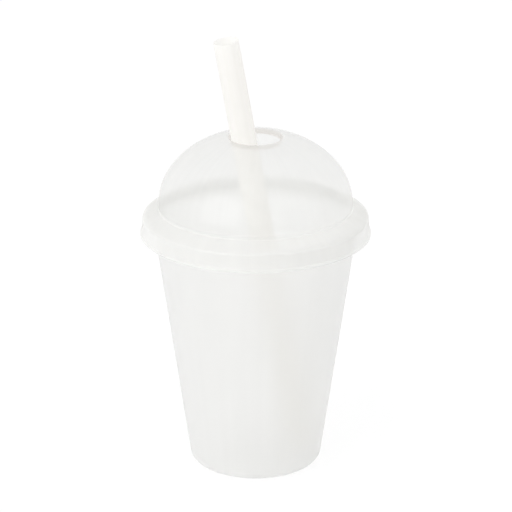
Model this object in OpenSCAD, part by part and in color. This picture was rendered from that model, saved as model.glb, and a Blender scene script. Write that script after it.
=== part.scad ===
// Disposable cup with a dome lid and a wide straw.
// Cup and lid are thermoformed sheets, so each is one section path, given a thickness and revolved.
// Origin: centre of the foot ring, on the table. +Z up. The straw leans towards -X.

/* [Cup] */
// Height of the cup, to the top of its rolled rim
cup_h = 113; // [90:1:150]
// Outside diameter of the rolled rim
rim_d = 95; // [86:0.5:105]
// Outside diameter of the cup at its foot, over the bottom corner
foot_d = 57.6; // [50:0.2:66]
// Thickness of the cup's wall
cup_wall = 0.5; // [0.35:0.05:0.8]
// Diameter of the rolled rim's bead
bead_d = 3.8; // [2.8:0.1:4.6]
// How far round the rim is rolled, in degrees
bead_turn = 290; // [240:5:310]
// Outside radius of the bottom corner
corner_r = 4.5; // [3:0.1:6]
// Width of the flat ring that the cup stands on
foot_w = 1.2; // [0.6:0.1:2.5]
// Rise of the pushed-up floor above the table
floor_rise = 2; // [1:0.1:4]
// Width of the slope from the foot ring up to the floor
floor_slope_w = 1.6; // [1.2:0.1:3]

/* [Lid] */
// Thickness of the lid's wall
lid_wall = 0.4; // [0.3:0.05:0.6]
// Height of the skirt, from the shoulder's edge to the lower lip
skirt_h = 7.6; // [6:0.2:12]
// How much the skirt widens on its way down, each side
skirt_draft = 0.4; // [0.1:0.05:1]
// How far the lower lip stands out from the skirt
lip_out = 0.6; // [0.3:0.05:1.2]
// Height of the lower lip
lip_h = 1.4; // [1:0.1:2.5]
// Width of the sloping shoulder, from the dome's foot to the skirt
shoulder_w = 6.8; // [5:0.1:10]
// Height of the dome's foot above the shoulder's edge
shoulder_rise = 3.9; // [2.5:0.1:5]
// Height of the upright wall at the dome's foot
dome_foot_h = 1.8; // [1:0.1:4]
// Height of the dome above that wall, to where its top would be without the hole
dome_h = 31.4; // [25:0.2:40]

/* [Straw hole] */
// Clear diameter of the straw hole, at the lower edge of its turned-down lip
hole_d = 21.2; // [18:0.2:28]
// How much wider the hole is at the dome's surface, each side
hole_flare = 1; // [0.4:0.1:2]
// Depth of the turned-down lip
hole_lip_h = 2.4; // [1.8:0.1:4]

/* [Straw] */
// Outside diameter of the straw
straw_d = 10.8; // [8:0.1:12]
// Wall thickness of the straw
straw_wall = 0.3; // [0.2:0.05:0.5]
// Length of the straw
straw_len = 190; // [180:1:230]
// Lean of the straw from upright, in degrees
straw_lean = 10; // [6:0.5:11]
// Direction of the lean, in degrees round from +X
straw_turn = 192; // [0:1:360]

/* [Clearances] */
// Gap between the top of the rim and the shoulder that rests on it
seat_gap = 0.3; // [0.2:0.05:0.6]
// Gap between the outside of the rim and the inside of the skirt
skirt_gap = 0.6; // [0.4:0.05:0.9]
// Gap between the straw and what it leans and stands on
straw_gap = 0.3; // [0.2:0.05:0.6]

/* [Bends] */
// Radius of the bends at the floor's slope
floor_bend_r = 0.8; // [0.6:0.1:1]
// Outside radius of the bend at the shoulder's edge
edge_bend_r = 1.2; // [0.8:0.1:1.6]
// Outside radius of the bend at the dome's foot
dome_bend_r = 0.8; // [0.5:0.1:1]
// Outside radius of the bends above and below the lower lip
lip_bend_r = 0.5; // [0.45:0.05:0.6]
// Outside radius of the bend at the edge of the straw hole
hole_bend_r = 0.9; // [0.7:0.1:1.2]

/* [Hidden] */
$fn = 96;
bend_steps = 5;
corner_steps = 7;
bead_steps = 20;
dome_steps = 26;
cut_extra = 1;

// Cup: the bead's centre, the corner's centre and the line that touches both
bead_r = bead_d / 2;
bead_inner_r = bead_r - cup_wall;
bead_c = [rim_d / 2 - bead_r, cup_h - bead_r];
corner_c = [foot_d / 2 - corner_r, corner_r];
bead_from_corner = bead_c - corner_c;
wall_lean = acos((corner_r + bead_inner_r) / norm(bead_from_corner))
    - atan2(bead_from_corner[1], bead_from_corner[0]);
floor_r = corner_c[0] - foot_w - floor_slope_w;
floor_top = floor_rise + cup_wall;

// Lid: the shoulder rests on the bead, and every other height follows from there
edge_r = rim_d / 2 + skirt_gap + lid_wall;
dome_r = edge_r - shoulder_w;
shoulder_lean = atan2(shoulder_rise, shoulder_w);
seat_z = bead_c[1] + (bead_r + seat_gap + lid_wall) / cos(shoulder_lean);
edge_z = seat_z - (edge_r - bead_c[0]) * tan(shoulder_lean);
skirt_r = edge_r + skirt_draft;
lip_r = skirt_r + lip_out;
skirt_bottom_z = edge_z - skirt_h;
lip_rise = lip_out;
dome_foot_z = edge_z + shoulder_rise;
dome_z = dome_foot_z + dome_foot_h;
hole_edge_r = hole_d / 2 + hole_flare;
hole_edge_a = acos(hole_edge_r / dome_r);
hole_edge_z = dome_z + dome_h * sin(hole_edge_a);
hole_lip_z = hole_edge_z - hole_lip_h;

// Straw: it leans on the lower edge of the hole's lip and stands on the floor
straw_r = straw_d / 2;
straw_foot_z = floor_top + straw_gap + straw_r * sin(straw_lean);
straw_at_lip = hole_d / 2 - straw_gap - straw_r / cos(straw_lean);
straw_foot_s = straw_at_lip - (hole_lip_z - straw_foot_z) * tan(straw_lean);

// Points on an arc about c, from angle a0 to angle a1
function arc(c, r, a0, a1, steps) =
    [for (i = [0:steps]) let (a = a0 + (a1 - a0) * i / steps) c + r * [cos(a), sin(a)]];

// A path through corners given as [x, y, bend radius], with each corner rounded.
// An open end leaves its last corner to the path that is joined on there.
function bent(p, steps, open_end = false) =
    [for (i = [0:len(p) - (open_end ? 2 : 1)])
        each p[i][2] == 0 ? [at(p[i])] : bend(at(p[i - 1]), p[i], at(p[i + 1]), steps)];
function at(p) = [p[0], p[1]];
function bend(before, p, after, steps) =
    let (
        u = unit(before - at(p)),
        v = unit(after - at(p)),
        half = acos(u * v) / 2,
        c = at(p) + unit(u + v) * p[2] / sin(half),
        a0 = direction(at(p) + u * p[2] / tan(half) - c),
        turn = direction(at(p) + v * p[2] / tan(half) - c) - a0
    )
    arc(c, p[2], a0, a0 + turn - 360 * round(turn / 360), steps);
function unit(v) = v / norm(v);
function direction(v) = atan2(v[1], v[0]);

// The outline of a sheet: a path, and back along the same path moved t to its left
function sheet(p, t) = concat(p, [for (i = [len(p) - 1:-1:0]) p[i] + t * across(p, i)]);
function across(p, i) =
    let (
        last = len(p) - 1,
        u = unit(p[max(i, 1)] - p[max(i, 1) - 1]),
        v = unit(p[min(i, last - 1) + 1] - p[min(i, last - 1)])
    )
    [-(u + v)[1], (u + v)[0]] / (1 + u * v);

// The cup's outer surface: floor, slope, foot ring, corner, wall, and round inside the bead
function cup_path() = concat(
    bent([
        [0, floor_rise, 0],
        [floor_r, floor_rise, floor_bend_r],
        [floor_r + floor_slope_w, 0, floor_bend_r],
        [corner_c[0], 0, 0]
    ], bend_steps, true),
    arc(corner_c, corner_r, -90, -wall_lean, corner_steps),
    arc(bead_c, bead_inner_r, 180 - wall_lean, 180 - wall_lean - bead_turn, bead_steps)
);

// The lid's outer surface: the hole's lip, dome, shoulder, skirt and lower lip
function dome_point(a) = [dome_r * cos(a), dome_z + dome_h * sin(a), 0];
function lid_path() = bent(concat(
    [[hole_d / 2, hole_lip_z, 0], [hole_edge_r, hole_edge_z, hole_bend_r]],
    [for (i = [1:dome_steps]) dome_point(hole_edge_a * (1 - i / dome_steps))],
    [
        [dome_r, dome_foot_z, dome_bend_r],
        [edge_r, edge_z, edge_bend_r],
        [skirt_r, skirt_bottom_z + lip_h, lip_bend_r],
        [lip_r, skirt_bottom_z + lip_h - lip_rise, lip_bend_r],
        [lip_r, skirt_bottom_z, 0]
    ]
), bend_steps);

module cup() {
    color("whitesmoke")
        rotate_extrude()
            polygon(sheet(cup_path(), cup_wall));
}

module lid() {
    color("ghostwhite")
        rotate_extrude()
            polygon(sheet(lid_path(), -lid_wall));
}

module straw() {
    color("ivory")
        rotate([0, 0, straw_turn])
            translate([straw_foot_s, 0, straw_foot_z])
                rotate([0, straw_lean, 0])
                    difference() {
                        cylinder(h = straw_len, r = straw_r);
                        translate([0, 0, -cut_extra])
                            cylinder(h = straw_len + 2 * cut_extra, r = straw_r - straw_wall);
                    }
}

cup();
lid();
straw();
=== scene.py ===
"""The looks of a disposable cup with a dome lid and a wide straw.

The frame holds the three pieces as faceted solids. Here each is turned again from the same section,
smoothly, and gets its plastic. Sizes are in millimetres until a mesh is made, which is in metres.
In names, _d is a diameter, _r a radius, _h a height, _w a width and _z a height above the table.
"""

from __future__ import annotations

import logging
from collections.abc import Sequence
from dataclasses import dataclass, field
from enum import Enum
from math import acos, ceil, cos, hypot, pi, radians, sin, tan
from typing import Any

import bpy
from mathutils import Matrix, Vector

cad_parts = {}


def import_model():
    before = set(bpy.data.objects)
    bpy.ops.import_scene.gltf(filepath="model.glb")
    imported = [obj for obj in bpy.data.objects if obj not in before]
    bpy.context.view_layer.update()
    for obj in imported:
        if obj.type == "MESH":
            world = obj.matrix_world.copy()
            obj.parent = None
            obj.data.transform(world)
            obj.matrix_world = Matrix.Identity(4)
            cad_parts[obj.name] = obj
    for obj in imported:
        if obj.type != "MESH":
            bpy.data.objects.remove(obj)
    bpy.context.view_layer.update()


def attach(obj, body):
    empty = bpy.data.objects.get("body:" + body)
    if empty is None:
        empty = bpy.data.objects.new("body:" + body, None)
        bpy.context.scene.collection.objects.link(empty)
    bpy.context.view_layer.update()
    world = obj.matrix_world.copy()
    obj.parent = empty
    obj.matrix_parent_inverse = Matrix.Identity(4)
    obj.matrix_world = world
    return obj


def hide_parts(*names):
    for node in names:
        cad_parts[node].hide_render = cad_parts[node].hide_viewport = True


log = logging.getLogger("cup")
MM = 0.001
# Times this, a place keeps its way from the axis and loses its height
LEVEL = (1, 1, 0)
# A noise texture stays mostly within this part of 0 to 1
NOISE_SPAN = (0.3, 0.7)
# The share of light that polypropylene mirrors head on, and how steeply it grows towards edge on
HEAD_ON_MIRROR = 0.04
SLANT_POWER = 5

Path = list[Vector]
Tree = bpy.types.NodeTree
Socket = bpy.types.NodeSocket


class Side(Enum):
    """The side of its path, seen along it, on which a sheet's thickness lies."""

    LEFT = 1
    RIGHT = -1


def linear(colour: str) -> tuple[float, float, float, float]:
    """The linear colour, with full alpha, of an sRGB one such as #F4F2EC."""
    parts = [int(colour[i : i + 2], 16) / 255 for i in (1, 3, 5)]
    return (*(c / 12.92 if c <= 0.04045 else ((c + 0.055) / 1.055) ** 2.4 for c in parts), 1.0)


def per_metre(size: float) -> float:
    """The scale of a pattern with features of this size in millimetres, on places in metres."""
    return 1 / (size * MM)


def add(
    tree: Tree,
    kind: str,
    inputs: dict[str | int, Any] | None = None,
    **settings: Any,
) -> Any:
    """Adds a node to a tree, with its settings and its links.

    Args:
        tree: The tree that gets the node.
        kind: The node's type, as Blender names it.
        inputs: For each input socket, by name or number, its value or the output to link to it.
        settings: The node's own properties.

    Returns:
        The new node.
    """
    node = tree.nodes.new(kind)
    for name, value in settings.items():
        setattr(node, name, value)
    for name, value in (inputs or {}).items():
        if isinstance(value, Socket):
            tree.links.new(value, node.inputs[name])
        else:
            node.inputs[name].default_value = value
    return node


def arc(centre: Vector, radius: float, start: float, end: float, step: float = 5) -> Path:
    """Points on an arc.

    Args:
        centre: The arc's centre.
        radius: Its radius.
        start: The angle that it starts at, in degrees.
        end: The angle that it ends at.
        step: The largest angle between two points.

    Returns:
        The points, with both ends.
    """
    count = max(2, ceil(abs(end - start) / step))
    angles = [radians(start + (end - start) * i / count) for i in range(count + 1)]
    return [centre + radius * Vector((cos(a), sin(a))) for a in angles]


def angle_of(way: Vector) -> float:
    """The angle of a direction, in degrees from +X."""
    return Vector((1, 0)).angle_signed(way) * -180 / pi


def bent(corners: Sequence[tuple[float, float, float]], open_end: bool = False) -> Path:
    """A path through corners, each rounded by its own radius.

    Args:
        corners: For each corner its two coordinates and its bend's radius, 0 where it is sharp.
        open_end: True if another path is joined on at the last corner, which is then left out.

    Returns:
        The points of the path.
    """
    points = [Vector(c[:2]) for c in corners]
    path: Path = []
    for i, (*_, radius) in enumerate(corners[: len(corners) - open_end]):
        if not radius:
            path.append(points[i])
            continue
        back = (points[i - 1] - points[i]).normalized()
        on = (points[i + 1] - points[i]).normalized()
        half = back.angle(on) / 2
        centre = points[i] + (back + on).normalized() * radius / sin(half)
        start = angle_of(points[i] + back * radius / tan(half) - centre)
        turn = angle_of(points[i] + on * radius / tan(half) - centre) - start
        path += arc(centre, radius, start, start + turn - 360 * round(turn / 360))
    return path


def divided(path: Path, longest: float = 2.5) -> Path:
    """Adds points on long straights, which keeps the shading of a bend at the bend.

    Args:
        path: The path.
        longest: The longest straight to leave, in millimetres.

    Returns:
        The same path with more points.
    """
    out = [path[0]]
    for a, b in zip(path, path[1:]):
        count = max(1, ceil((b - a).length / longest))
        out += [a.lerp(b, i / count) for i in range(1, count + 1)]
    return out


def sheet(path: Path, wall: float, side: Side) -> Path:
    """The outline of a sheet.

    Args:
        path: One face of the sheet, seen in section.
        wall: The sheet's thickness.
        side: The side of the path that the thickness lies on.

    Returns:
        The path and the same path moved by the thickness, in the order that turns faces outwards.
        A sheet that reaches the axis closes there, and one with a hole closes at the hole.
    """
    last = len(path) - 1
    moved = []
    for i, point in enumerate(path):
        u = (path[max(i, 1)] - path[max(i, 1) - 1]).normalized()
        v = (path[min(i, last - 1) + 1] - path[min(i, last - 1)]).normalized()
        moved.append(point + side.value * wall * Vector((-(u + v).y, (u + v).x)) / (1 + u.dot(v)))
    outline = path + moved[::-1] if side is Side.LEFT else moved + path[::-1]
    return outline if path[0].x == 0 else [*outline, outline[0]]


@dataclass
class Turning:
    """Turns a section round the Z axis with Geometry Nodes, as a mould for a round sheet is turned.

    Args:
        segments: How many flat strips make the full round.
        seam: Points nearer than this are one, in metres, which closes the seam and the poles.
        crease: Edges that bend by more than this stay sharp, in degrees.
    """

    segments: int = 224
    seam: float = 2e-6
    crease: float = 50
    tree: Tree | None = field(default=None, init=False)
    sockets: dict[str, str] = field(default_factory=dict, init=False)

    def __post_init__(self) -> None:
        """Builds the tree once, for every piece that is turned."""
        self.tree = bpy.data.node_groups.new("Turned sheet", "GeometryNodeTree")
        interface = self.tree.interface
        kinds = {
            "Section": "Geometry",
            "Segments": "Int",
            "Seam": "Float",
            "Crease": "Float",
            "Finish": "Material",
        }
        for name, kind in kinds.items():
            socket = interface.new_socket(name, in_out="INPUT", socket_type=f"NodeSocket{kind}")
            self.sockets[name] = socket.identifier
        interface.new_socket("Mesh", in_out="OUTPUT", socket_type="NodeSocketGeometry")
        self._lay_out()

    def _lay_out(self) -> None:
        """Bends a grid round: its columns are the segments, and its rows the section's points."""
        tree = self.tree
        given = add(tree, "NodeGroupInput").outputs
        segments = given["Segments"]
        size = add(tree, "GeometryNodeAttributeDomainSize", {0: given["Section"]}, component="MESH")
        rows = size.outputs["Point Count"]
        columns = add(tree, "ShaderNodeMath", {0: segments, 1: 1}, operation="ADD").outputs[0]
        shape = {"Vertices X": columns, "Vertices Y": rows}
        grid = add(tree, "GeometryNodeMeshGrid", shape).outputs[0]

        index = add(tree, "GeometryNodeInputIndex").outputs[0]
        row = add(tree, "ShaderNodeMath", {0: index, 1: rows}, operation="MODULO").outputs[0]
        passed = add(tree, "ShaderNodeMath", {0: index, 1: rows}, operation="DIVIDE").outputs[0]
        column = add(tree, "ShaderNodeMath", {0: passed}, operation="FLOOR").outputs[0]
        share = add(tree, "ShaderNodeMath", {0: column, 1: segments}, operation="DIVIDE").outputs[0]
        angle = add(tree, "ShaderNodeMath", {0: share, 1: 2 * pi}, operation="MULTIPLY").outputs[0]

        place = add(tree, "GeometryNodeInputPosition").outputs[0]
        point = add(
            tree,
            "GeometryNodeSampleIndex",
            {"Geometry": given["Section"], "Index": row, "Value": place},
            data_type="FLOAT_VECTOR",
            domain="POINT",
        ).outputs["Value"]
        turn = {"Vector": point, "Angle": angle}
        turned = add(tree, "ShaderNodeVectorRotate", turn, rotation_type="Z_AXIS").outputs[0]
        move = {"Geometry": grid, "Position": turned}
        moved = add(tree, "GeometryNodeSetPosition", move).outputs[0]
        merge = {"Geometry": moved, "Distance": given["Seam"]}
        closed = add(tree, "GeometryNodeMergeByDistance", merge).outputs[0]

        faces = {"Geometry": closed}
        smooth = add(tree, "GeometryNodeSetShadeSmooth", faces, domain="FACE").outputs[0]
        bend = add(tree, "GeometryNodeInputMeshEdgeAngle").outputs["Unsigned Angle"]
        bends = {0: bend, 1: given["Crease"]}
        sharp = add(tree, "ShaderNodeMath", bends, operation="GREATER_THAN").outputs[0]
        edges = {"Geometry": smooth, "Selection": sharp, "Shade Smooth": False}
        creased = add(tree, "GeometryNodeSetShadeSmooth", edges, domain="EDGE").outputs[0]
        real = add(tree, "GeometryNodeRealizeInstances", {0: creased}).outputs[0]
        dress = {"Geometry": real, "Material": given["Finish"]}
        dressed = add(tree, "GeometryNodeSetMaterial", dress).outputs[0]
        add(tree, "NodeGroupOutput", {0: dressed})

    def turn(
        self,
        name: str,
        section: Path,
        finish: bpy.types.Material,
        place: Matrix | None = None,
    ) -> bpy.types.Object:
        """Turns one piece.

        Args:
            name: The piece's name.
            section: Its outline in section, as distance from the axis and height, in millimetres.
            finish: Its material.
            place: Where the turned piece goes, in metres. It stays round the Z axis without it.

        Returns:
            A plain mesh object at the origin, with its place in its mesh.
        """
        outline = bpy.data.meshes.new(f"{name}_section")
        points = [(p.x * MM, 0, p.y * MM) for p in section]
        outline.from_pydata(points, [(i, i + 1) for i in range(len(points) - 1)], [])
        source = bpy.data.objects.new(f"{name}_section", outline)
        bpy.context.collection.objects.link(source)
        modifier = source.modifiers.new("Turned sheet", "NODES")
        modifier.node_group = self.tree
        values = {
            "Segments": self.segments,
            "Seam": self.seam,
            "Crease": radians(self.crease),
            "Finish": finish,
        }
        for key, value in values.items():
            modifier[self.sockets[key]] = value

        graph = bpy.context.evaluated_depsgraph_get()
        mesh = bpy.data.meshes.new_from_object(source.evaluated_get(graph))
        mesh.name = name
        if place is not None:
            mesh.transform(place)
        source.modifiers.remove(modifier)
        bpy.data.objects.remove(source)
        bpy.data.meshes.remove(outline)
        piece = bpy.data.objects.new(name, mesh)
        bpy.context.collection.objects.link(piece)
        return piece


def round_pattern(tree: Tree, place: Socket, radius: float, stretch: float) -> Socket:
    """Coordinates for streaks that run along a round piece, whatever its taper.

    Args:
        tree: The material's tree.
        place: The output that gives a point's place, with the piece's axis on Z, in metres.
        radius: The radius that the streaks' width is measured at, in millimetres.
        stretch: How many times longer than wide the streaks are.

    Returns:
        The output with the coordinates, in metres round the piece.
    """
    flat = add(tree, "ShaderNodeVectorMath", {0: place, 1: LEVEL}, operation="MULTIPLY").outputs[0]
    way = add(tree, "ShaderNodeVectorMath", {0: flat}, operation="NORMALIZE").outputs[0]
    height = {0: place, 1: (0, 0, 1 / stretch)}
    along = add(tree, "ShaderNodeVectorMath", height, operation="MULTIPLY").outputs[0]
    both = {0: way, 1: (radius * MM,) * 3, 2: along}
    return add(tree, "ShaderNodeVectorMath", both, operation="MULTIPLY_ADD").outputs[0]


def noise(tree: Tree, place: Socket, size: float, low: float, high: float) -> Socket:
    """A soft random pattern.

    Args:
        tree: The material's tree.
        place: The output with the coordinates, in metres.
        size: The width of its features, in millimetres.
        low: The value of its low parts.
        high: The value of its high parts.

    Returns:
        The output with the value.
    """
    inputs = {"Vector": place, "Scale": per_metre(size), "Detail": 2}
    pattern = add(tree, "ShaderNodeTexNoise", inputs).outputs[0]
    least, most = NOISE_SPAN
    span = {"Value": pattern, "From Min": least, "From Max": most, "To Min": low, "To Max": high}
    return add(tree, "ShaderNodeMapRange", span).outputs[0]


def noise_colour(tree: Tree, place: Socket, size: float, one: str, other: str) -> Socket:
    """A soft random mix of two colours, with features of this size in millimetres."""
    inputs = {0: noise(tree, place, size, 0, 1), "A": linear(one), "B": linear(other)}
    return add(tree, "ShaderNodeMix", inputs, data_type="RGBA").outputs["Result"]


def uneven(tree: Tree, place: Socket, size: float, strength: float, depth: float) -> Socket:
    """The normal of a softly uneven surface.

    Args:
        tree: The material's tree.
        place: The output with the coordinates, in metres.
        size: The width of the surface's bumps, in millimetres.
        strength: How much of them shows, from 0 to 1.
        depth: Their depth, in millimetres.

    Returns:
        The output with the normal.
    """
    inputs = {"Vector": place, "Scale": per_metre(size), "Detail": 1}
    height = add(tree, "ShaderNodeTexNoise", inputs).outputs[0]
    bump = {"Height": height, "Strength": strength, "Distance": depth * MM}
    return add(tree, "ShaderNodeBump", bump).outputs[0]


def thin_sheet(
    tree: Tree,
    haze: Socket | float,
    milk: Socket,
    clear: Socket | tuple[float, ...],
    through: float,
    rough: Socket,
    bump: Socket,
    edge: float,
) -> Socket:
    """The shader of a thin plastic sheet, made as a closed shell: it all acts where light enters.

    Args:
        tree: The material's tree.
        haze: The share of light that the sheet scatters. The rest goes straight through.
        milk: The colour of the scattered light.
        clear: The colour that a face gives light on its straight way through.
        through: The part of the scattered light that leaves on the other side.
        rough: The roughness of the gloss.
        bump: The normal that the gloss sees.
        edge: How much more a face mirrors edge on than head on.

    Returns:
        The output with the shader.
    """
    inside = add(tree, "ShaderNodeNewGeometry").outputs["Backfacing"]
    outside = add(tree, "ShaderNodeMath", {0: 1, 1: inside}, operation="SUBTRACT").outputs[0]
    front = add(tree, "ShaderNodeBsdfDiffuse", {"Color": milk}).outputs[0]
    back = add(tree, "ShaderNodeBsdfTranslucent", {"Color": milk}).outputs[0]
    both = add(tree, "ShaderNodeMixShader", {0: through, 1: front, 2: back}).outputs[0]
    straight = add(tree, "ShaderNodeBsdfTransparent", {"Color": clear}).outputs[0]
    share = add(tree, "ShaderNodeMath", {0: haze, 1: outside}, operation="MULTIPLY").outputs[0]
    body = add(tree, "ShaderNodeMixShader", {0: share, 1: straight, 2: both}).outputs[0]

    gloss = add(tree, "ShaderNodeBsdfAnisotropic", {"Roughness": rough, "Normal": bump}).outputs[0]
    slant = add(tree, "ShaderNodeLayerWeight").outputs["Facing"]
    steep = add(tree, "ShaderNodeMath", {0: slant, 1: SLANT_POWER}, operation="POWER").outputs[0]
    growing = {0: steep, 1: edge, 2: HEAD_ON_MIRROR}
    mirrored = add(tree, "ShaderNodeMath", growing, operation="MULTIPLY_ADD").outputs[0]
    shine = add(tree, "ShaderNodeMath", {0: mirrored, 1: outside}, operation="MULTIPLY").outputs[0]
    return add(tree, "ShaderNodeMixShader", {0: shine, 1: body, 2: gloss}).outputs[0]


def empty_material(name: str) -> bpy.types.Material:
    """Makes a material with an empty node tree.

    Args:
        name: The material's name.

    Returns:
        The material.
    """
    material = bpy.data.materials.new(name)
    material.use_nodes = True
    material.node_tree.nodes.clear()
    return material


@dataclass(frozen=True)
class FrostedPolypropylene:
    """Thermoformed polypropylene of natural colour, from a matt mould.

    It looks milky, and what is behind it shows as a soft blur.
    """

    colour: str = "#F3F3F2"
    thin: str = "#F5F5F4"
    # The share of light that goes through the wall, blurred; the milkiness scatters the rest
    clear: float = 0.66
    refraction: float = 1.49
    # Streaks run down the wall, the way the sheet was drawn; their width is measured half way up
    streak: float = 5
    streak_r: float = 37
    streak_stretch: float = 25
    # The gloss varies in soft patches
    patch: float = 18
    smoothest: float = 0.35
    roughest: float = 0.41
    # The mould's grain is about 0.1 mm; it is drawn at 0.7 mm, the finest that shows
    grain: float = 0.7
    grain_strength: float = 0.12
    grain_depth: float = 0.05

    def material(self) -> bpy.types.Material:
        """Makes the plastic of the cup. Light that is inside the sheet always finds a way out.

        Returns:
            The material.
        """
        made = empty_material("Frosted polypropylene, thermoformed")
        tree = made.node_tree
        place = add(tree, "ShaderNodeTexCoord").outputs["Object"]
        drawn = round_pattern(tree, place, self.streak_r, self.streak_stretch)
        inside = add(tree, "ShaderNodeNewGeometry").outputs["Backfacing"]
        ways = {0: inside, 1: self.clear}
        look = {
            "Base Color": noise_colour(tree, drawn, self.streak, self.colour, self.thin),
            "Roughness": noise(tree, place, self.patch, self.smoothest, self.roughest),
            "IOR": self.refraction,
            "Transmission Weight": add(tree, "ShaderNodeMath", ways, operation="MAXIMUM").outputs[0],
            "Normal": uneven(tree, place, self.grain, self.grain_strength, self.grain_depth),
        }
        surface = add(tree, "ShaderNodeBsdfPrincipled", look).outputs[0]
        add(tree, "ShaderNodeOutputMaterial", {"Surface": surface})
        return made


@dataclass(frozen=True)
class ClearPolypropylene:
    """Thermoformed clarified polypropylene, from a polished mould.

    It looks glossy. It is faintly milky where the dome is drawn thin, and milkier in the shoulder
    and skirt, where the sheet stays thick.
    """

    milk: str = "#F4F4F2"
    milk_warm: str = "#F3F3F1"
    clear: str = "#FCFCFC"
    # The lip round the hole is seen edge on, through more plastic: it is greyer but not milky
    hem: str = "#F6F4F2"
    hem_haze: float = 0.2
    hem_r: float = 11.4
    hem_fade: float = 0.6
    dome_haze: float = 0.35
    skirt_haze: float = 0.7
    through: float = 0.5
    edge: float = 0.12
    # Above the dome's foot the milkiness fades over a narrow band
    foot_z: float = 116.2
    fade: float = 1.8
    # Haze varies a little along the way the sheet was drawn
    streak: float = 4
    streak_r: float = 42
    streak_stretch: float = 12
    streak_depth: float = 0.015
    # Cooling leaves the sheet faintly wavy, which shows only where it shines
    wave: float = 9
    wave_strength: float = 0.3
    wave_depth: float = 0.05
    smoothest: float = 0.16
    roughest: float = 0.21

    def material(self) -> bpy.types.Material:
        """Makes the plastic of the lid: haze and gloss on each outer face, over what is behind.

        Returns:
            The material.
        """
        made = empty_material("Clear polypropylene, thermoformed")
        tree = made.node_tree
        place = add(tree, "ShaderNodeTexCoord").outputs["Object"]
        past_hem = self.past_hem(tree, place)
        plastic = thin_sheet(
            tree,
            haze=self.haze(tree, place, past_hem),
            milk=noise_colour(tree, place, self.wave, self.milk, self.milk_warm),
            clear=self.tint(tree, past_hem),
            through=self.through,
            rough=noise(tree, place, self.wave, self.smoothest, self.roughest),
            bump=uneven(tree, place, self.wave, self.wave_strength, self.wave_depth),
            edge=self.edge,
        )
        surface = self.letting_light_in(tree, plastic)
        add(tree, "ShaderNodeOutputMaterial", {"Surface": surface})
        return made

    def past_hem(self, tree: Tree, place: Socket) -> Socket:
        """Tells the lip round the hole from the rest of the lid, by the distance from the axis.

        Args:
            tree: The material's tree.
            place: The output that gives a point's place, in metres.

        Returns:
            An output that is 0 in the lip and 1 in the rest.
        """
        level = {0: place, 1: LEVEL}
        flat = add(tree, "ShaderNodeVectorMath", level, operation="MULTIPLY").outputs[0]
        radius = add(tree, "ShaderNodeVectorMath", {0: flat}, operation="LENGTH").outputs["Value"]
        span = {
            "Value": radius,
            "From Min": self.hem_r * MM,
            "From Max": (self.hem_r + self.hem_fade) * MM,
        }
        return add(tree, "ShaderNodeMapRange", span, interpolation_type="SMOOTHSTEP").outputs[0]

    def tint(self, tree: Tree, past_hem: Socket) -> Socket:
        """The output with the colour of what is seen straight through a face."""
        ends = {0: past_hem, "A": linear(self.hem), "B": linear(self.clear)}
        return add(tree, "ShaderNodeMix", ends, data_type="RGBA").outputs["Result"]

    def haze(self, tree: Tree, place: Socket, past_hem: Socket) -> Socket:
        """Spreads the haze: least in the lip, little in the dome and most below the dome's foot.

        Args:
            tree: The material's tree.
            place: The output that gives a point's place, in metres.
            past_hem: The output that is 0 in the lip round the hole and 1 in the rest.

        Returns:
            The output with the share of light that is scattered each time light enters the sheet.
        """
        ends = {0: past_hem, "A": self.hem_haze, "B": self.dome_haze}
        dome = add(tree, "ShaderNodeMix", ends, data_type="FLOAT").outputs["Result"]
        span = {
            "Value": add(tree, "ShaderNodeSeparateXYZ", {0: place}).outputs["Z"],
            "From Min": self.foot_z * MM,
            "From Max": (self.foot_z + self.fade) * MM,
            "To Min": self.skirt_haze,
            "To Max": dome,
        }
        even = add(tree, "ShaderNodeMapRange", span, interpolation_type="SMOOTHSTEP").outputs[0]
        drawn = round_pattern(tree, place, self.streak_r, self.streak_stretch)
        streaks = noise(tree, drawn, self.streak, 1 - self.streak_depth, 1 + self.streak_depth)
        return add(tree, "ShaderNodeMath", {0: even, 1: streaks}, operation="MULTIPLY").outputs[0]

    def letting_light_in(self, tree: Tree, plastic: Socket) -> Socket:
        """Opens the plastic to light on its way to other pieces.

        Its haze scatters forwards, so it holds back almost none of that light.

        Args:
            tree: The material's tree.
            plastic: The output with the plastic's shader.

        Returns:
            The output with the opened shader.
        """
        rays = add(tree, "ShaderNodeLightPath").outputs
        either = {0: rays["Is Shadow Ray"], 1: rays["Is Diffuse Ray"]}
        lighting = add(tree, "ShaderNodeMath", either, operation="MAXIMUM").outputs[0]
        whole = {"Color": linear("#FFFFFF")}
        open_way = add(tree, "ShaderNodeBsdfTransparent", whole).outputs[0]
        return add(tree, "ShaderNodeMixShader", {0: lighting, 1: plastic, 2: open_way}).outputs[0]


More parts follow.
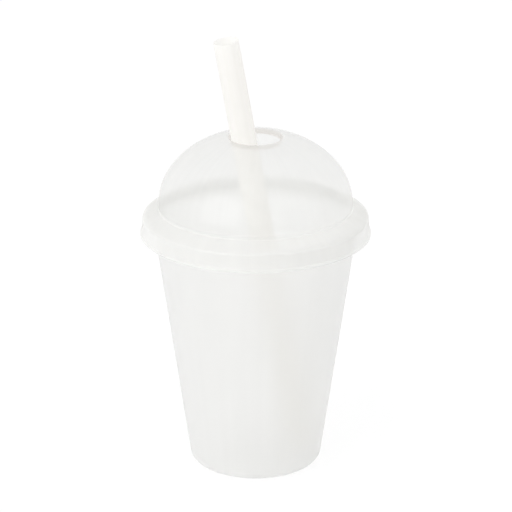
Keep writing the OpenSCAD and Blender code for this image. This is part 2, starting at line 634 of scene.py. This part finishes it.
@dataclass(frozen=True)
class ExtrudedPolypropylene:
    """Extruded polypropylene tube, cream white.

    It looks satin, with faint lines that the die has drawn along it.
    """

    colour: str = "#F9F8F6"
    line_colour: str = "#F7F6F3"
    haze: float = 1
    through: float = 0.55
    edge: float = 0.3
    smoothest: float = 0.32
    roughest: float = 0.42
    # The die's lines are about 0.1 mm apart; they are drawn at 0.5 mm, the finest that shows
    line: float = 0.5
    line_r: float = 5.4
    line_stretch: float = 60
    line_strength: float = 0.2
    line_depth: float = 0.02
    # The colour varies in wider bands than the gloss
    band: float = 1.5
    place: Matrix = field(default_factory=lambda: Matrix.Identity(4))

    def material(self) -> bpy.types.Material:
        """Makes the plastic of the straw. Light that is inside its wall passes on untinted.

        Returns:
            The material.
        """
        made = empty_material("Cream polypropylene, extruded")
        tree = made.node_tree
        place = {
            "Vector": add(tree, "ShaderNodeTexCoord").outputs["Object"],
            "Location": self.place.translation,
            "Rotation": self.place.to_euler(),
        }
        upright = add(tree, "ShaderNodeMapping", place, vector_type="TEXTURE").outputs[0]
        drawn = round_pattern(tree, upright, self.line_r, self.line_stretch)
        surface = thin_sheet(
            tree,
            haze=self.haze,
            milk=noise_colour(tree, drawn, self.band, self.colour, self.line_colour),
            clear=linear("#FFFFFF"),
            through=self.through,
            rough=noise(tree, drawn, self.line, self.smoothest, self.roughest),
            bump=uneven(tree, drawn, self.line, self.line_strength, self.line_depth),
            edge=self.edge,
        )
        add(tree, "ShaderNodeOutputMaterial", {"Surface": surface})
        return made


@dataclass
class Cup:
    """The tapered cup, one thermoformed sheet with its rim rolled outwards.

    Sizes are in millimetres, and bead_turn and bead_step in degrees.
    """

    height: float = 113
    rim_d: float = 95
    foot_d: float = 57.6
    wall: float = 0.5
    bead_d: float = 3.8
    bead_turn: float = 290
    bead_step: float = 7.5
    corner_r: float = 4.5
    foot_w: float = 1.2
    floor_rise: float = 2
    floor_slope_w: float = 1.6
    floor_bend_r: float = 0.8
    finish: FrostedPolypropylene = FrostedPolypropylene()

    @property
    def bead_r(self) -> float:
        """Outside radius of the rolled rim's bead."""
        return self.bead_d / 2

    @property
    def bead_centre(self) -> Vector:
        """Centre of the bead, in section."""
        return Vector((self.rim_d / 2 - self.bead_r, self.height - self.bead_r))

    @property
    def floor_top(self) -> float:
        """Height of the floor's upper face."""
        return self.floor_rise + self.wall

    def section(self) -> Path:
        """Draws the sheet in section.

        Returns:
            Its outline: floor, slope, foot ring, corner, wall, and round inside the bead.
        """
        corner = Vector((self.foot_d / 2 - self.corner_r, self.corner_r))
        inner_r = self.bead_r - self.wall
        reach = self.bead_centre - corner
        lean = acos((self.corner_r + inner_r) / reach.length) * 180 / pi - angle_of(reach)
        floor_r = corner.x - self.foot_w - self.floor_slope_w
        floor = [
            (0, self.floor_rise, 0),
            (floor_r, self.floor_rise, self.floor_bend_r),
            (floor_r + self.floor_slope_w, 0, self.floor_bend_r),
            (corner.x, 0, 0),
        ]
        bead_start = 180 - lean
        bead_end = bead_start - self.bead_turn
        path = bent(floor, open_end=True)
        path += arc(corner, self.corner_r, -90, -lean)
        path += arc(self.bead_centre, inner_r, bead_start, bead_end, self.bead_step)
        return sheet(divided(path), self.wall, Side.LEFT)

    def build(self, turning: Turning) -> bpy.types.Object:
        """Makes the cup and puts it on its body."""
        piece = turning.turn("cup_shell", self.section(), self.finish.material())
        return mounted(piece, body="cup", node="cup")


@dataclass
class Lid:
    """The dome lid, one thermoformed sheet that rests on the cup's rim. Sizes in millimetres."""

    cup: Cup
    wall: float = 0.4
    skirt_h: float = 7.6
    skirt_draft: float = 0.4
    lip_out: float = 0.6
    lip_h: float = 1.4
    shoulder_w: float = 6.8
    shoulder_rise: float = 3.9
    dome_foot_h: float = 1.8
    dome_h: float = 31.4
    hole_d: float = 21.2
    hole_flare: float = 1
    hole_lip_h: float = 2.4
    seat_gap: float = 0.3
    skirt_gap: float = 0.6
    edge_bend_r: float = 1.2
    dome_bend_r: float = 0.8
    lip_bend_r: float = 0.5
    hole_bend_r: float = 0.9
    dome_steps: int = 80
    # The first points of the dome's curve make way for the bend at the hole
    bend_steps: int = 4
    finish: ClearPolypropylene = ClearPolypropylene()

    @property
    def edge_r(self) -> float:
        """Radius of the shoulder's edge."""
        return self.cup.rim_d / 2 + self.skirt_gap + self.wall

    @property
    def dome_r(self) -> float:
        """Radius of the dome at its foot."""
        return self.edge_r - self.shoulder_w

    @property
    def edge_z(self) -> float:
        """Height of the shoulder's edge, with the shoulder resting on the bead."""
        bead = self.cup.bead_centre
        slant = hypot(self.shoulder_w, self.shoulder_rise) / self.shoulder_w
        seat = bead.y + (self.cup.bead_r + self.seat_gap + self.wall) * slant
        return seat - (self.edge_r - bead.x) * self.shoulder_rise / self.shoulder_w

    @property
    def dome_z(self) -> float:
        """Height at which the dome's curve starts."""
        return self.edge_z + self.shoulder_rise + self.dome_foot_h

    @property
    def hole_edge(self) -> Vector:
        """The edge of the straw hole on the dome's surface, in section."""
        edge_r = self.hole_d / 2 + self.hole_flare
        return Vector((edge_r, self.dome_z + self.dome_h * sin(acos(edge_r / self.dome_r))))

    @property
    def hole_lip_z(self) -> float:
        """Height of the lower edge of the hole's lip."""
        return self.hole_edge.y - self.hole_lip_h

    def dome(self) -> list[tuple[float, float, float]]:
        """Follows the dome's curve.

        Returns:
            Its points, as corners without a bend, from near the hole down to its foot.
        """
        edge_a = acos(self.hole_edge.x / self.dome_r)
        steps = range(self.bend_steps, self.dome_steps + 1)
        angles = [edge_a * (1 - i / self.dome_steps) for i in steps]
        return [(self.dome_r * cos(a), self.dome_z + self.dome_h * sin(a), 0) for a in angles]

    def section(self) -> Path:
        """Draws the sheet in section.

        Returns:
            Its outline: the hole's lip, dome, shoulder, skirt and lower lip.
        """
        skirt_r = self.edge_r + self.skirt_draft
        lip_r = skirt_r + self.lip_out
        bottom = self.edge_z - self.skirt_h
        corners = [
            (self.hole_d / 2, self.hole_lip_z, 0),
            (*self.hole_edge, self.hole_bend_r),
            *self.dome(),
            (self.dome_r, self.edge_z + self.shoulder_rise, self.dome_bend_r),
            (self.edge_r, self.edge_z, self.edge_bend_r),
            (skirt_r, bottom + self.lip_h, self.lip_bend_r),
            (lip_r, bottom + self.lip_h - self.lip_out, self.lip_bend_r),
            (lip_r, bottom, 0),
        ]
        return sheet(divided(bent(corners)), self.wall, Side.RIGHT)

    def build(self, turning: Turning) -> bpy.types.Object:
        """Makes the lid and puts it on its body."""
        piece = turning.turn("lid_dome", self.section(), self.finish.material())
        return mounted(piece, body="lid", node="lid")


@dataclass
class Straw:
    """The wide straw, an extruded tube that leans on the hole's lip and stands on the floor.

    Sizes are in millimetres, and lean and turn in degrees.
    """

    cup: Cup
    lid: Lid
    diameter: float = 10.8
    wall: float = 0.3
    length: float = 190
    lean: float = 10
    turn: float = 192
    gap: float = 0.3
    edge_r: float = 0.1
    longest: float = 6

    def place(self) -> Matrix:
        """Leans the straw on the hole's lip, with its foot on the floor.

        Returns:
            Where the upright straw goes, in metres.
        """
        lean, radius = radians(self.lean), self.diameter / 2
        foot_z = self.cup.floor_top + self.gap + radius * sin(lean)
        at_lip = self.lid.hole_d / 2 - self.gap - radius / cos(lean)
        foot_x = at_lip - (self.lid.hole_lip_z - foot_z) * tan(lean)
        foot = Matrix.Translation(Vector((foot_x, 0, foot_z)) * MM)
        return Matrix.Rotation(radians(self.turn), 4, "Z") @ foot @ Matrix.Rotation(lean, 4, "Y")

    def section(self) -> Path:
        """Draws the tube's wall in section, with the edges of its cut ends just broken.

        Returns:
            Its outline, which starts and ends half way up inside.
        """
        outer, inner, r = self.diameter / 2, self.diameter / 2 - self.wall, self.edge_r
        wall = [
            (inner, self.length / 2, 0),
            (inner, 0, r),
            (outer, 0, r),
            (outer, self.length, r),
            (inner, self.length, r),
            (inner, self.length / 2, 0),
        ]
        return divided(bent(wall), self.longest)

    def build(self, turning: Turning) -> bpy.types.Object:
        """Makes the straw and puts it on the lid's body, which it rides with.

        Args:
            turning: What turns a section into a piece.

        Returns:
            The straw.
        """
        place = self.place()
        finish = ExtrudedPolypropylene(place=place)
        piece = turning.turn("straw_tube", self.section(), finish.material(), place)
        return mounted(piece, body="lid", node="straw")


def mounted(piece: bpy.types.Object, body: str, node: str) -> bpy.types.Object:
    """Puts a finished piece in the frame and reports it.

    A volume above 0 in the report shows that its faces point outwards.

    Args:
        piece: The piece, with its place in its mesh.
        body: The body that it moves with.
        node: The frame's node that it stands for.

    Returns:
        The piece.
    """
    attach(piece, body)
    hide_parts(node)
    mesh = piece.data
    mesh.calc_loop_triangles()
    faces = mesh.loop_triangles
    volume = sum(t.area * t.normal.dot(mesh.vertices[t.vertices[0]].co) for t in faces) / 3
    log.info("%s on %s: %d triangles, %.0f mm3", piece.name, body, len(faces), volume / MM**3)
    return piece


@dataclass(frozen=True)
class Lamp:
    """A soft square lamp that faces the cup. Place and size in metres, power in watts."""

    name: str
    place: tuple[float, float, float]
    size: float
    power: float


@dataclass
class Studio:
    """A white table and room, soft lamps and the photograph's camera.

    Sizes are in metres, lens and sensor in millimetres, and pitch in degrees.
    """

    distance: float = 1.2166
    pitch: float = 20.783
    aim: Vector = field(default_factory=lambda: Vector((0.00017, 0, 0.09375)))
    lens: float = 198.4
    sensor: float = 36
    floor_r: float = 4
    floor_sides: int = 48
    table: str = "#EBEBEB"
    # Seen by the camera, the table takes its shadow on this colour and glows up to white
    table_seen: str = "#7A7A7A"
    table_glow: float = 0.81
    sky: float = 0.965
    lamps: tuple[Lamp, ...] = (
        Lamp("Key", place=(-1.3, -1.4, 0.9), size=1.8, power=14.5),
        Lamp("Fill", place=(1.8, -0.5, 0.9), size=2.2, power=2),
    )
    faces: int = 32

    def camera(self) -> None:
        """Puts the camera where the photograph was taken from."""
        data = bpy.data.cameras.new("Camera")
        data.lens, data.sensor_width = self.lens, self.sensor
        camera = bpy.data.objects.new("Camera", data)
        back = Vector((0, -cos(radians(self.pitch)), sin(radians(self.pitch))))
        camera.location = self.aim + back * self.distance
        camera.rotation_euler = (radians(90 - self.pitch), 0, 0)
        bpy.context.collection.objects.link(camera)
        bpy.context.scene.camera = camera

    def light(self, lamp: Lamp) -> None:
        """Puts up a lamp.

        Args:
            lamp: The lamp.
        """
        data = bpy.data.lights.new(lamp.name, "AREA")
        data.shape, data.size, data.energy = "SQUARE", lamp.size, lamp.power
        placed = bpy.data.objects.new(lamp.name, data)
        placed.location = lamp.place
        way = self.aim - Vector(lamp.place)
        placed.rotation_euler = way.to_track_quat("-Z", "Y").to_euler()
        bpy.context.collection.objects.link(placed)

    def seen(self, tree: Tree) -> Socket:
        """Finds the rays that show the backdrop: straight, mirrored or through the plastic.

        Args:
            tree: The tree of the table's material or of the world.

        Returns:
            An output that is 1 for these rays and 0 for the rest.
        """
        rays = add(tree, "ShaderNodeLightPath").outputs
        shown = {0: rays["Is Camera Ray"], 1: rays["Is Glossy Ray"]}
        either = add(tree, "ShaderNodeMath", shown, operation="MAXIMUM").outputs[0]
        shown = {0: either, 1: rays["Is Transmission Ray"]}
        return add(tree, "ShaderNodeMath", shown, operation="MAXIMUM").outputs[0]

    def floor(self) -> None:
        """Makes the white table, which shows white and still takes the cup's soft shadow."""
        made = empty_material("White table, matt")
        tree = made.node_tree
        plain = add(tree, "ShaderNodeBsdfDiffuse", {"Color": linear(self.table)}).outputs[0]
        shade = add(tree, "ShaderNodeBsdfDiffuse", {"Color": linear(self.table_seen)}).outputs[0]
        glow = add(tree, "ShaderNodeEmission", {"Strength": self.table_glow}).outputs[0]
        white = add(tree, "ShaderNodeAddShader", {0: shade, 1: glow}).outputs[0]
        ways = {0: self.seen(tree), 1: plain, 2: white}
        mixed = add(tree, "ShaderNodeMixShader", ways).outputs[0]
        add(tree, "ShaderNodeOutputMaterial", {"Surface": mixed})

        mesh = bpy.data.meshes.new("table")
        angles = [2 * pi * i / self.floor_sides for i in range(self.floor_sides)]
        ring = [(self.floor_r * cos(a), self.floor_r * sin(a), 0) for a in angles]
        mesh.from_pydata(ring, [], [tuple(range(self.floor_sides))])
        mesh.materials.append(made)
        table = bpy.data.objects.new("table", mesh)
        bpy.context.collection.objects.link(table)

    def world(self) -> None:
        """Makes the white surroundings."""
        world = bpy.data.worlds.new("White room")
        world.use_nodes = True
        tree = world.node_tree
        tree.nodes.clear()
        colour = linear("#FFFFFF")
        sky = {"Color": colour, "Strength": self.sky}
        light = add(tree, "ShaderNodeBackground", sky).outputs[0]
        white = add(tree, "ShaderNodeBackground", {"Color": colour, "Strength": 1}).outputs[0]
        ways = {0: self.seen(tree), 1: light, 2: white}
        mixed = add(tree, "ShaderNodeMixShader", ways).outputs[0]
        add(tree, "ShaderNodeOutputWorld", {"Surface": mixed})
        bpy.context.scene.world = world

    def rays(self) -> None:
        """Lets light pass as many faces as lie behind each other, and stay as sharp as it came."""
        cycles = bpy.context.scene.cycles
        cycles.max_bounces = cycles.transmission_bounces = self.faces
        cycles.diffuse_bounces = cycles.glossy_bounces = self.faces // 2
        cycles.blur_glossy = 0

    def build(self) -> None:
        """Sets up the camera, the table, the surroundings and the lamps."""
        self.rays()
        self.camera()
        self.floor()
        self.world()
        for lamp in self.lamps:
            self.light(lamp)


def main() -> None:
    """Builds the studio and the three pieces."""
    logging.basicConfig(level=logging.INFO, format="%(name)s: %(message)s", force=True)
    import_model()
    bpy.context.scene.view_settings.view_transform = "Standard"
    Studio().build()

    turning = Turning()
    cup = Cup()
    lid = Lid(cup)
    straw = Straw(cup, lid)
    for each in (cup, lid, straw):
        each.build(turning)


if __name__ == "__main__":
    main()
